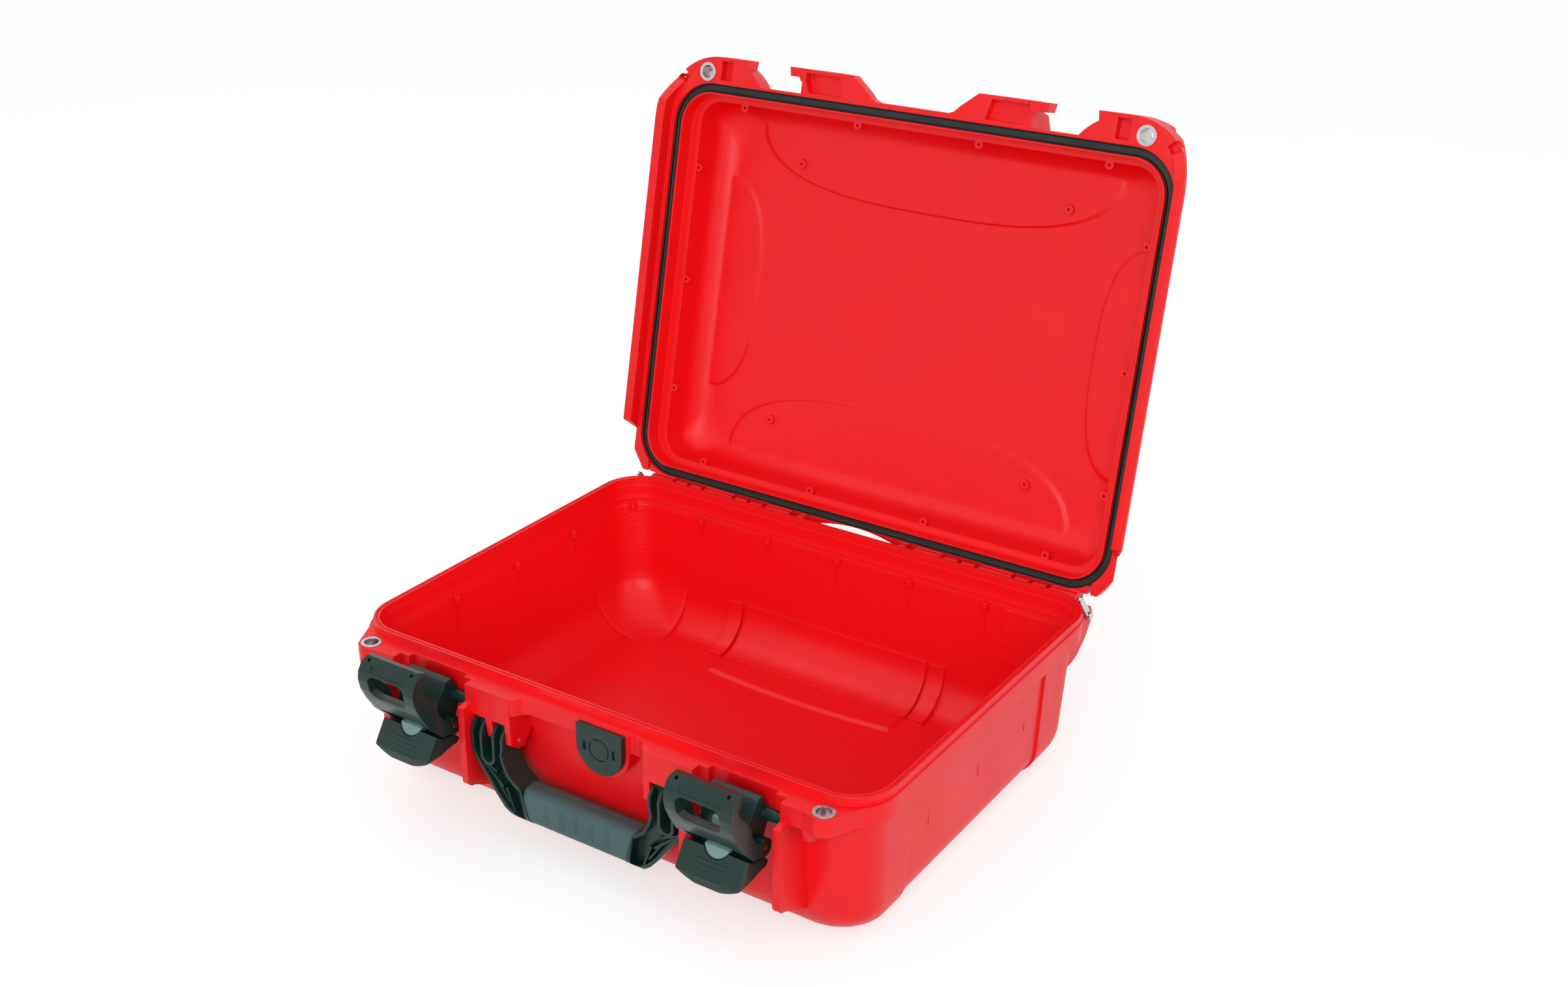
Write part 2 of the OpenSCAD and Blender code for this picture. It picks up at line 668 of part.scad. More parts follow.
// The hood behind the hinge pins, arched in the middle so that light shows under the open lid.
module lid_hood() {
    difference() {
        side_profile([[lid_back - 5, hood_z], [hinge_y + 4, hood_z], [hinge_y + 4, hood_z + hood_t],
            [lid_back - 5, hood_z + hood_t + 5]], -203, 203);
        translate([0, arch_y + arch_r, hood_z - 1]) intersection() {
            cylinder(r = arch_r, h = hood_t + 8, $fn = 180);
            translate([-42, -arch_r, 0]) cube([84, 30, hood_t + 8]);
        }
    }
    for (s = SIDES) rod(s * 49 - 3, s * 49 + 3, hinge_y, hinge_z, knuckle_r);
    for (s = SIDES) side_profile([[lid_back - 4, rim_z + 1], [hinge_y, rim_z], [hinge_y + 4, hood_z],
        [lid_back - 4, hood_z + 3]], s * 49 - 3, s * 49 + 3);
}

// A raised field on the inside of the lid panel, drawn along +Y with its flat side at y = 0.
module emboss(half_w, depth) {
    steps = 32;
    bow = 0.7;
    slope = 2.4;
    translate([0, 0, panel_z + 1]) rotate([180, 0, 0]) linear_extrude(emboss_t + 1, scale = 1 - slope / depth)
        polygon([for (i = [0 : steps]) let (a = 180 * i / steps)
            [half_w * sign(cos(a)) * pow(abs(cos(a)), bow), -depth * pow(sin(a), bow)]]);
}

module lid_embosses() {
    translate([0, -lid_in_y, 0]) emboss(170, lid_in_y - 87);
    translate([0, lid_in_y, 0]) rotate(180) emboss(168, lid_in_y - 79);
    translate([-lid_in_x, 0, 0]) rotate(-90) emboss(96, lid_in_x - 152);
    translate([lid_in_x, 0, 0]) rotate(90) emboss(96, lid_in_x - 160);
    for (x = [-123, 123], y = [-112, 109]) translate([x, y, panel_z - 5]) difference() {
        cylinder(r = 4, h = 5.5);
        translate([0, 0, -1]) cylinder(d = pilot_d, h = 5);
    }
}

module lid_boss(x, y, z, depth) {
    translate([x, y, z]) difference() {
        cylinder(d = boss_d + 1, h = depth);
        translate([0, 0, -1]) cylinder(d = pilot_d, h = depth - 1);
    }
}

module lid_shell_closed() {
    difference() {
        union() {
            both_sides() lid_tabs();
            both_sides() translate([0, 0, rim_z]) linear_extrude(lip_top - rim_z) lid_lip_plan();
            difference() {
                union() {
                    translate([0, 0, rim_z]) linear_extrude(rim_h) lid_rim_plan();
                    translate([0, 0, rim_z]) linear_extrude(side_top - rim_z) lid_side_plan();
                    lid_skirts();
                }
                for (s = SIDES) translate([s * lid_x, 0, shoulder_z]) rotate([0, s * shoulder_lean, 0])
                    translate([-40, -tab_front, 0]) cube([80, 2 * tab_front, 40]);
            }
            hull() {
                translate([0, 0, rim_z + rim_t - EPS]) linear_extrude(EPS)
                    rounded_rect(lid_x - 10, seal_y + 3, lid_r - 8, $fn = HULL_SIDES);
                translate([0, 0, skirt_top]) linear_extrude(EPS)
                    rounded_rect(tray_x + 3, tray_y + 2, lid_r - 12, $fn = HULL_SIDES);
            }
            tub(tray_x + 2, tray_y + 1, lid_r - 12, lid_top, skirt_top, lid_fillet);
            both_sides() for (span = lid_knuckles) lid_knuckle(span);
            lid_hood();
        }
        tub(lid_in_x, lid_in_y, lid_in_r, panel_z, lid_ledge - EPS, lid_fillet - 2);
        plate(lid_mouth_x, lid_mouth_y, lid_mouth_r, rim_z - 1, lid_ledge);
        seal_ring(-lip_t / 2 - 1.4, lip_t / 2 + 1.2, rim_z - 1, seal_face_z);
        seal_ring(-seal_w / 2 - 0.1, seal_w / 2 + 0.1, seal_face_z - 1, seal_top_z);
        translate([-relief_x, seal_y - lip_t / 2 - 2.1, rim_z - 1]) cube([2 * relief_x, 5, 1 + relief_h]);
        both_sides() {
            translate([eye_x, -eye_y, rim_z - 1]) cylinder(d = eye_bore + 2, h = skirt_h + 2);
            translate([eye_x, -eye_y, skirt_top]) cylinder(d = eye_flange_d + 2, h = lid_h);
            translate([0, 0, rim_z - 1]) linear_extrude(pocket_depth) lid_pocket_plan();
            for (span = base_knuckles) {
                rod(span[0] - gap, span[1] + gap, hinge_y, hinge_z, knuckle_r + gap);
            }
            rod(hinge_pin_in - 2, hinge_pin_out + 2, hinge_y, hinge_z, hinge_pin_d / 2 + pin_clear);
            rod(stay_x - stay_t / 2 - gap, stay_x + stay_t / 2 + gap, hinge_y, hinge_z, stay_slot_r);
        }
    }
    for (x = lid_row_x, s = SIDES) lid_boss(x, s * lid_row_y, lid_ledge, lid_boss_h);
    for (y = lid_side_y, s = SIDES) lid_boss(s * lid_side_x, y, lid_ledge, lid_boss_h);
    lid_embosses();
}

module lid_shell() {
    color(RED) opened() lid_shell_closed();
}

module lid_seal() {
    color(RUBBER) opened() seal_ring(-seal_w / 2, seal_w / 2, seal_face_z, seal_top_z);
}

module lid_eyelets() {
    color(STEEL) opened() for (s = SIDES) translate([s * eye_x, -eye_y, rim_z]) difference() {
        union() {
            cylinder(d = eye_bore + 2, h = skirt_h - lid_gap);
            translate([0, 0, -eye_flange_t]) cylinder(d = eye_flange_d, h = eye_flange_t);
        }
        translate([0, 0, -2]) cylinder(d = eye_bore, h = skirt_h + 2);
    }
}

module hinge_pin(s) {
    color(STEEL) scale([s, 1, 1]) rod(hinge_pin_in, hinge_pin_out, hinge_y, hinge_z, hinge_pin_d / 2);
}

// ---------------------------------------------------------------- handle

// Outline of the right arm, as [x, z] points from the pivot down to the grip.
module arm_outline() {
    top = handle_z + arm_crown;
    low = handle_z - handle_reach;
    out = prong_out[1] - handle_play;
    polygon([[prong_in[0] + handle_play, top], [out, top], [out, low + 48], [column_in - 4, low + 41],
        [column_in - 12, low + 30], [column_in - 21, low + 18], [column_in - 28, low + 9.5],
        [column_in - 36, low + 3], [column_in - 45, low], [grip_low_x, low], [grip_top_x, low + grip_h],
        [grip_top_x + 2, low + grip_h + 2], [column_in - 35, low + 35], [column_in - 30.5, low + 43],
        [column_in - 28, low + 51], [prong_in[0] + handle_play, low + 57]]);
}

// The hollow inside the rim of the arm.
module arm_channel() {
    top = handle_z + arm_crown;
    low = handle_z - handle_reach;
    rim = prong_out[1] - handle_play - arm_rim;
    polygon([[prong_in[0] + handle_play + arm_rim, top - arm_rim], [rim, top - arm_rim], [rim, low + 49],
        [column_in - 6, low + 42], [column_in - 14, low + 31.5], [column_in - 23, low + 19.5],
        [column_in - 30, low + 11.5], [column_in - 37, low + 5.5], [column_in - 45, low + 3],
        [grip_low_x + 5, low + 3], [grip_top_x + 1, low + grip_h - 1], [grip_top_x + 4, low + grip_h],
        [column_in - 33, low + 33.5], [column_in - 28.5, low + 42], [column_in - 26, low + 50],
        [prong_in[0] + handle_play + arm_rim, low + 57]]);
}

module arm_ribs() {
    low = handle_z - handle_reach;
    for (p = [[column_in - 33, low + 14, 20], [column_in - 25, low + 22, 35], [column_in - 18, low + 31, 50],
            [column_in - 11, low + 39, 65]])
        translate([p[0], -handle_y, p[1]]) rotate([0, p[2], 0])
            cube([1.6, 22, 22], center = true);
}

// The gap between the two prongs of an arm, grown by `more`, as [x, z] outline.
module prong_gap(more) {
    middle = (prong_in[1] + prong_out[0]) / 2;
    half = (prong_out[0] - prong_in[1]) / 2 + handle_play + more;
    translate([middle, handle_z - 14]) circle(half);
    translate([middle - half, handle_z - 14]) square([2 * half, 14 + arm_crown + more]);
}

module bail_arm() {
    back = handle_y - 6.5;
    low = handle_z - handle_reach;
    difference() {
        intersection() {
            translate([0, -back, 0]) rotate([90, 0, 0]) linear_extrude(arm_front + 6.5) arm_outline();
            union() {
                translate([0, -handle_y, handle_z]) rotate([90, 0, 90])
                    linear_extrude(prong_out[1]) circle(arm_crown);
                translate([0, -handle_y - arm_front, 0]) rotate([90, 0, 90]) linear_extrude(prong_out[1]) {
                    translate([0, low + 9]) square([arm_front + 6.5, handle_reach - 9]);
                    translate([9, low]) square([arm_front - 2.5, 12]);
                    translate([9, low + 9]) circle(9);
                }
            }
        }
        difference() {
            translate([0, -handle_y - 4, 0]) rotate([90, 0, 0]) linear_extrude(arm_front) arm_channel();
            translate([0, -handle_y, 0]) rotate([90, 0, 0]) linear_extrude(arm_front + 1) prong_gap(arm_rim);
            arm_ribs();
        }
        translate([0, -back + 1, 0]) rotate([90, 0, 0]) linear_extrude(arm_front + 9) prong_gap(0);
        rod(prong_in[0] - 1, prong_out[1] + 1, -handle_y, handle_z, handle_pin_d / 2 + pin_clear);
    }
}

module grip_centre() {
    translate([0, -handle_y - 1, handle_z - handle_reach + grip_h / 2]) children();
}

module handle_bail() {
    color(DARK) {
        both_sides() bail_arm();
        grip_centre() rotate([0, 90, 0]) cylinder(r = 7, h = 2 * grip_low_x + 6, center = true);
    }
}

module handle_grip() {
    groove_pitch = 13.4;
    color(TEAL) grip_centre() difference() {
        intersection() {
            rotate([90, 0, 90]) linear_extrude(4 * grip_top_x, center = true)
                rounded_rect(grip_t / 2, grip_h / 2, 9);
            rotate([90, 0, 0]) linear_extrude(2 * grip_t, center = true)
                polygon([[-grip_low_x, -grip_h / 2], [grip_low_x, -grip_h / 2],
                    [grip_top_x, grip_h / 2], [-grip_top_x, grip_h / 2]]);
        }
        rotate([0, 90, 0]) cylinder(r = 7, h = 4 * grip_top_x, center = true);
        for (i = [-2 : 2]) translate([i * groove_pitch, -grip_t / 2 - 1.2, -4]) {
            cylinder(r = 2.4, h = grip_h);
            sphere(r = 2.4);
        }
    }
}

module handle_pin(s) {
    color(STEEL) scale([s, 1, 1]) rod(bracket_in - 0.3, pocket_in, -handle_y, handle_z, handle_pin_d / 2);
}

// ---------------------------------------------------------------- latches

module at_latch(s) {
    scale([s, 1, 1]) translate([latch_x, 0, 0]) children();
}

module latch_lever(s) {
    hw = pocket_w / 2 - gap;
    color(DARK) at_latch(s) difference() {
        union() {
            rod(-hw, hw, -pivot_y, pivot_z, trunnion_r);
            side_profile([[-pivot_y + 2, pivot_z + 4], [-pivot_y - 4, pivot_z + 15], [-pivot_y - 9, pivot_z + 14],
                [-hub_y - 9, hub_z + 20], [-hub_y - 9, hub_z - 5], [-hub_y - 5, hub_z - hub_r - 5],
                [-hub_y, hub_z - hub_r], [-hub_y + 7, hub_z - 2], [-pivot_y + 3, pivot_z - 5]], -block_x, block_x);
            lever_plate();
        }
        rod(-hw - 1, hw + 1, -pivot_y, pivot_z, pivot_pin_d / 2 + pin_clear);
        rod(-block_x - 1, block_x + 1, -hub_y, hub_z, claw_pin_d / 2);
        slide_rail(gap, slide_travel);
        button_outline(button_r + gap);
    }
}

// The grip plate below the claw, with its finger ribs and curved lower edge.
module lever_plate() {
    tip_y = hub_y + 29;
    tip_z = hub_z - 25;
    edge_r = 46;
    intersection() {
        union() {
            side_profile([[-hub_y - 12.5, hub_z - 5.6], [-hub_y - 18.5, hub_z - 0.9], [-tip_y + 0.6, hub_z - 16],
                [-tip_y, hub_z - 18], [-tip_y, tip_z + 1], [-tip_y + 1.5, tip_z], [-tip_y + 4, tip_z + 1],
                [-hub_y - 18, hub_z - 18], [-hub_y - 6, hub_z - 15.5], [-hub_y + 2, hub_z - 15],
                [-hub_y + 4, hub_z - 12], [-hub_y, hub_z - hub_r - 1]], -lever_w / 2, lever_w / 2);
            for (i = [0 : 3]) rod(-lever_w / 2 + 14 - i * 0.8, lever_w / 2 - 14 + i * 0.8, -tip_y + 0.6 + i * 1.9,
                tip_z + 7 + i * 3.1, 1.3);
        }
        translate([0, -hub_y - 60, tip_z + edge_r]) rotate([-90, 0, 0]) cylinder(r = edge_r, h = 80, $fn = 96);
    }
}

// The rail that guides the slide in the lever, grown by `more` and lengthened upwards by `travel`.
module slide_rail(more, travel) {
    translate([-slide_neck - more, -hub_y - 9 - gap - EPS, hub_z - 4 - more])
        cube([2 * (slide_neck + more), gap + slide_lip + 1 + more, slide_h - 4 + travel + 2 * more]);
    translate([-slide_neck - 3 - more, -hub_y - 9 + slide_lip - more, hub_z - 4 - more])
        cube([2 * (slide_neck + 3 + more), 1.6 + 2 * more, slide_h - 4 + travel + 2 * more]);
}

// The round button under the claw, drawn through the grip plate.
module button_outline(r) {
    translate([0, -hub_y - 12.1, hub_z + 4.5]) rotate([90, 0, 0]) cylinder(r = r, h = 14);
}

module latch_slide(s) {
    color(PALE) at_latch(s) {
        slide_rail(0, 0);
        translate([-slide_hw, -hub_y - 12.6, hub_z - 5]) cube([2 * slide_hw, 3.6 - gap, slide_h + 5]);
        intersection() {
            button_outline(button_r);
            side_profile([[-hub_y - 12, hub_z + 0.5], [-hub_y - 17, hub_z + 0.5], [-hub_y - 21.5, hub_z - 7.5],
                [-hub_y - 12, hub_z - 7.5]], -button_r, button_r);
        }
    }
}

// Side outline of a claw arm, from the hub up and over to the hook.
module claw_arm(x0, x1) {
    side_profile([[-hub_y + 3, hub_z - hub_r + 0.4], [-hub_y - 13, hub_z - 3], [-hub_y - 26, hub_z + 10.5],
        [-hub_y - 33.4, hub_z + 23], [-hub_y - 37.4, hub_z + 32], [-hub_y - 39, hub_z + 40],
        [-hub_y - 38, hub_z + 46], [-hub_y - 34, hub_z + 52.5], [-hub_y - 30, hub_z + 56],
        [-hub_y - 23.4, hub_z + 53.5], [-hub_y - 28, hub_z + 47], [-hub_y - 31, hub_z + 43.5],
        [-hub_y - 27, hub_z + 36.5], [-hub_y - 19.5, hub_z + 28.5], [-hub_y - 16, hub_z + 22.5],
        [-hub_y - 15, hub_z + 16.5], [-hub_y - 10.5, hub_z + 9.5], [-hub_y - 4, hub_z + 5.5]], x0, x1);
    rod(x0, x1, -hub_y, hub_z, hub_r);
}

// The front plate and the hook bar that join the two arms.
module claw_front() {
    side_profile([[-hub_y - 26.5, hub_z + 11.5], [-hub_y - 33.4, hub_z + 23], [-hub_y - 37.4, hub_z + 32],
        [-hub_y - 39, hub_z + 40], [-hub_y - 38, hub_z + 46], [-hub_y - 34, hub_z + 52.5],
        [-hub_y - 30, hub_z + 56], [-hub_y - 23.4, hub_z + 53.5], [-hub_y - 28, hub_z + 47],
        [-hub_y - 32, hub_z + 43.5], [-hub_y - 33.5, hub_z + 39], [-hub_y - 31.5, hub_z + 33.5],
        [-hub_y - 27.5, hub_z + 25.5], [-hub_y - 21.5, hub_z + 15.5]], -claw_x + 1, claw_x - 1);
}

module latch_claw(s) {
    crown_r = 7;
    crown_z = hub_z + 57.5;
    color(DARK) at_latch(s) difference() {
        intersection() {
            union() {
                claw_arm(-claw_x, -claw_x + arm_t);
                claw_arm(claw_x - arm_t, claw_x);
                claw_front();
            }
            translate([0, -hub_y + 20, crown_z - 45]) rotate([90, 0, 0]) linear_extrude(80)
                rounded_rect(claw_x, 45, crown_r);
        }
        translate([0, -hub_y - 20, hub_z + 36]) rotate([90, 0, 0]) linear_extrude(30)
            rounded_rect(claw_x - arm_t - 2, 9, 6);
        rod(-claw_x - 1, claw_x + 1, -hub_y, hub_z, claw_pin_d / 2 + pin_clear);
        translate([0, -hub_y - 36.2, hub_z + 49.3]) rotate([-31.6, 0, 0]) cube([32, 2.4, 5], center = true);
        for (x = SIDES) translate([x * (claw_x - 6), -hub_y - 31, hub_z + 53]) rotate([60, 0, 0])
            cylinder(r = 1.3, h = 12, center = true);
    }
}

module latch_pivot_pin(s) {
    color(STEEL) scale([s, 1, 1])
        rod(column_in, gusset_x + gusset_t - 2, -pivot_y, pivot_z, pivot_pin_d / 2);
}

module claw_pin(s) {
    color(STEEL) at_latch(s) rod(-claw_x, claw_x, -hub_y, hub_z, claw_pin_d / 2);
}

// ---------------------------------------------------------------- stays

module stay_link(s) {
    color(STEEL) scale([s, 1, 1]) translate([stay_x - stay_t / 2, stay_y, stay_z])
        rotate([stay_lean, 0, 0]) difference() {
            rotate([90, 0, 90]) linear_extrude(stay_t) {
                translate([0, -stay_w / 2]) square([stay_len, stay_w]);
                circle(stay_w / 2 + 1);
                translate([stay_len, 0]) circle(stay_w / 2);
            }
            rod(-1, stay_t + 1, 0, 0, stay_pin_d / 2 + pin_clear);
        }
}

module stay_pin(s) {
    color(STEEL) scale([s, 1, 1]) {
        rod(stay_x - stay_t / 2 - gap - ear_t, stay_x + stay_t / 2 + gap, stay_y, stay_z, stay_pin_d / 2);
        rod(stay_x + stay_t / 2 + gap, stay_x + stay_t / 2 + gap + 1, stay_y, stay_z, stay_pin_d / 2 + 1.5);
    }
}

// ---------------------------------------------------------------- valve

module on_valve(y) {
    translate([valve_x, -y, 0]) rotate([90, 0, 0]) children();
}

module valve_cap() {
    color(DARK) on_valve(valve_y) difference() {
        linear_extrude(cap_t) valve_outline(valve_w / 2, valve_top, valve_low);
        translate([0, valve_mid, -1]) cylinder(r = gasket_r - gasket_w - 0.5, h = cap_t - 1);
        translate([0, valve_mid, cap_t - 1]) difference() {
            cylinder(r = 8.6, h = 2);
            translate([0, 0, -1]) cylinder(r = 7.6, h = 4);
            rotate(45) cube([2.5, 30, 6], center = true);
        }
        for (x = SIDES) translate([x * 12.5 - 1.2, valve_mid - 3.5, cap_t - 1.6]) cube([2.4, 7, 3]);
    }
}

module valve_gasket() {
    color(RUBBER) on_valve(valve_y - gasket_t) translate([0, valve_mid, 0]) difference() {
        cylinder(r = gasket_r, h = gasket_t);
        translate([0, 0, -1]) cylinder(r = gasket_r - gasket_w, h = gasket_t + 2);
    }
}

module valve_membrane() {
    color("white") on_valve(valve_y) translate([0, valve_mid, 0]) cylinder(r = gasket_r - gasket_w - 2, h = 0.5);
}

base_shell();
base_eyelets();
lid_shell();
lid_seal();
lid_eyelets();
handle_bail();
handle_grip();
valve_cap();
valve_gasket();
valve_membrane();
hinge_pin(-1);  // hinge_pin_left
hinge_pin(1);  // hinge_pin_right
handle_pin(-1);  // handle_pin_left
handle_pin(1);  // handle_pin_right
latch_lever(-1);  // latch_lever_left
latch_lever(1);  // latch_lever_right
latch_claw(-1);  // latch_claw_left
latch_claw(1);  // latch_claw_right
latch_slide(-1);  // latch_slide_left
latch_slide(1);  // latch_slide_right
latch_pivot_pin(-1);  // latch_pivot_pin_left
latch_pivot_pin(1);  // latch_pivot_pin_right
claw_pin(-1);  // claw_pin_left
claw_pin(1);  // claw_pin_right
stay_link(-1);  // stay_link_left
stay_link(1);  // stay_link_right
stay_pin(-1);  // stay_pin_left
stay_pin(1);  // stay_pin_right
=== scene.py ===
"""The looks of a hard tool case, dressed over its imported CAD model. Metres, the CAD frame."""
import json
import math

import bmesh
import bpy
from mathutils import Matrix, Vector


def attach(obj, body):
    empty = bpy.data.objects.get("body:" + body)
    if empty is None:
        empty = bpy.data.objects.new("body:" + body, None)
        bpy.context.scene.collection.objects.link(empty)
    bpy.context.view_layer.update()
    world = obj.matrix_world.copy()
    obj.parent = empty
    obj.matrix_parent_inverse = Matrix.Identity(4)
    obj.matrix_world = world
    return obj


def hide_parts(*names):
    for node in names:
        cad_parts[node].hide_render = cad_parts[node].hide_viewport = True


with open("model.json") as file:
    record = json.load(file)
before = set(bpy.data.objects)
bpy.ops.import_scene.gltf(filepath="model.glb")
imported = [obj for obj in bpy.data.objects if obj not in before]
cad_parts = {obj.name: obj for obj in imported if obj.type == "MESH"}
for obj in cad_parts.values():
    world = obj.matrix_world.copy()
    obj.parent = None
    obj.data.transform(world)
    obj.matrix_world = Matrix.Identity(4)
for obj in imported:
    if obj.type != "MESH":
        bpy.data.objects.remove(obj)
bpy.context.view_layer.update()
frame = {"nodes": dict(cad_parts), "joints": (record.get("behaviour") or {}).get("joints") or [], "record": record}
nodes = frame["nodes"]
scene = bpy.context.scene
link = scene.collection.objects.link

# the photograph's camera, in degrees, pixels, metres and millimetres of sensor
PHOTO_WIDTH_PX = 2408
FOCAL_PX = 2852.88
CAMERA_AZIMUTH = 33.1156
CAMERA_ELEVATION = 24.3795
CAMERA_ROLL = 0.4725
CAMERA_PLACE = Vector((0.70559, -1.00912, 0.78053))
SENSOR = 36.0

# where the stippled patches inside the two rear corners of the base fade in or out
PATCH_SIDE = (0.150, 0.152)
PATCH_REAR = (0.120, 0.122)
PATCH_BOTTOM = (0.056, 0.062)
PATCH_TOP = (0.104, 0.106)
PIP_SCALE = 520
PIP_HEIGHT = 0.0006

# slow mottling of the mouldings and their faint waviness
CLOUD_SCALE = 18
RIPPLE_SCALE = 60
RIPPLE_HEIGHT = 0.0004

# how far the wide rounding's normal agrees with the face: below the first an edge,
# above the second a slight turn
EDGE_AGREES = 0.955
TURN_AGREES = 0.982

# the middle line of the seal round the closed lid
SEAL_HALF_X = 0.2202
SEAL_HALF_Y = 0.16505
SEAL_CORNER = 0.032
SEAL_CORNER_STEPS = 16
# half the seal across its groove, (out from the middle line, height with the lid closed): from the root
# over a soft lip to the dished face
SEAL_SIDE = [(0.00265, 0.1304), (0.00265, 0.1265), (0.00340, 0.1264), (0.00345, 0.1248), (0.00330, 0.1242),
             (0.00305, 0.1240), (0.00282, 0.1242), (0.00270, 0.1250), (0.00262, 0.1260), (0.00250, 0.12640),
             (0.00120, 0.12650)]

FLOOR_HALF = 30.0
FLOOR_TONES = ((0.525, 0.545, 0.545), (0.54, 0.56, 0.56))
FLOOR_GLOW = 0.58
WORLD_LIGHTS = 0.70
WORLD_SEEN = 1.0
# name, place, size of its square, watts
LAMPS = (("key", (1.0, -2.3, 1.3), 1.6, 32),
         ("side", (2.2, 0.2, 0.9), 1.4, 8),
         ("top", (-1.2, 0.3, 2.4), 1.4, 5))
LAMPS_AIM = Vector((0, 0, 0.12))


# ------------------------------------------------------------------ camera
def camera():
    """The photograph's camera, solved from the eyes, bosses and seal line of the case."""
    azimuth, elevation, roll = (math.radians(a) for a in (CAMERA_AZIMUTH, CAMERA_ELEVATION, CAMERA_ROLL))
    back = Vector((math.sin(azimuth) * math.cos(elevation), -math.cos(azimuth) * math.cos(elevation),
                   math.sin(elevation)))
    right = (-back).cross(Vector((0, 0, 1))).normalized()
    up = right.cross(-back)
    x_axis = right * math.cos(roll) + up * math.sin(roll)
    y_axis = up * math.cos(roll) - right * math.sin(roll)
    data = bpy.data.cameras.new("camera")
    data.sensor_width = SENSOR
    data.lens = FOCAL_PX * SENSOR / PHOTO_WIDTH_PX
    data.clip_end = 100
    obj = bpy.data.objects.new("camera", data)
    rows = [[x_axis[i], y_axis[i], back[i], CAMERA_PLACE[i]] for i in range(3)] + [[0, 0, 0, 1]]
    obj.matrix_world = Matrix(rows)
    link(obj)
    scene.camera = obj


camera()


# --------------------------------------------------------------- materials
def new_material(name):
    material = bpy.data.materials.new(name)
    material.use_nodes = True
    tree = material.node_tree
    return material, tree, tree.nodes["Principled BSDF"]


def noise(tree, coords, scale, detail=2.0, rough=0.5):
    node = tree.nodes.new("ShaderNodeTexNoise")
    node.inputs["Scale"].default_value = scale
    node.inputs["Detail"].default_value = detail
    node.inputs["Roughness"].default_value = rough
    tree.links.new(coords, node.inputs["Vector"])
    return node.outputs["Fac"]


def remap(tree, value, low, high, to_low, to_high):
    node = tree.nodes.new("ShaderNodeMapRange")
    for key, number in zip(("From Min", "From Max", "To Min", "To Max"), (low, high, to_low, to_high)):
        node.inputs[key].default_value = number
    tree.links.new(value, node.inputs["Value"])
    return node.outputs["Result"]


def mix_node(tree, kind, factor):
    """A mix node with its factor linked, and its A, B and result sockets of that kind."""
    node = tree.nodes.new("ShaderNodeMix")
    node.data_type = kind
    tree.links.new(factor, node.inputs["Factor"])
    first, result = {"VECTOR": (4, 1), "RGBA": (6, 2)}[kind]
    return node.inputs[first], node.inputs[first + 1], node.outputs[result]


def mix_colours(tree, factor, first, second):
    first_socket, second_socket, result = mix_node(tree, "RGBA", factor)
    first_socket.default_value = (*first, 1)
    second_socket.default_value = (*second, 1)
    return result


def math_node(tree, operation, first, second):
    node = tree.nodes.new("ShaderNodeMath")
    node.operation = operation
    for socket, value in zip(node.inputs, (first, second)):
        if isinstance(value, (int, float)):
            socket.default_value = value
        else:
            tree.links.new(value, socket)
    return node.outputs[0]


def bump(tree, height, strength, distance, under):
    node = tree.nodes.new("ShaderNodeBump")
    node.inputs["Strength"].default_value = strength
    node.inputs["Distance"].default_value = distance
    tree.links.new(height, node.inputs["Height"])
    tree.links.new(under, node.inputs["Normal"])
    return node.outputs["Normal"]


def bevel(tree, radius, samples):
    node = tree.nodes.new("ShaderNodeBevel")
    node.samples = samples
    node.inputs["Radius"].default_value = radius
    return node.outputs["Normal"]


def soft_edges(tree, radius, blend=0.0):
    """Normals rounded over the moulded edges, and wider where the surface only turns slightly."""
    edges = bevel(tree, radius, 6)
    if not blend:
        return edges
    wide = bevel(tree, blend, 8)
    face = tree.nodes.new("ShaderNodeNewGeometry").outputs["True Normal"]
    dot = tree.nodes.new("ShaderNodeVectorMath")
    dot.operation = "DOT_PRODUCT"
    tree.links.new(face, dot.inputs[0])
    tree.links.new(wide, dot.inputs[1])
    slight = remap(tree, dot.outputs["Value"], EDGE_AGREES, TURN_AGREES, 0, 1)
    first_socket, second_socket, result = mix_node(tree, "VECTOR", slight)
    tree.links.new(edges, first_socket)
    tree.links.new(wide, second_socket)
    return result


def corner_patches(tree, coords):
    """1 on the stippled patches inside the two rear corners of the base, 0 elsewhere."""
    split = tree.nodes.new("ShaderNodeSeparateXYZ")
    tree.links.new(coords, split.inputs[0])
    side = remap(tree, math_node(tree, "ABSOLUTE", split.outputs["X"], 0), *PATCH_SIDE, 0, 1)
    rear = remap(tree, split.outputs["Y"], *PATCH_REAR, 0, 1)
    high = remap(tree, split.outputs["Z"], *PATCH_BOTTOM, 0, 1)
    low = remap(tree, split.outputs["Z"], *PATCH_TOP, 1, 0)
    return math_node(tree, "MULTIPLY", math_node(tree, "MULTIPLY", side, rear),
                     math_node(tree, "MULTIPLY", high, low))


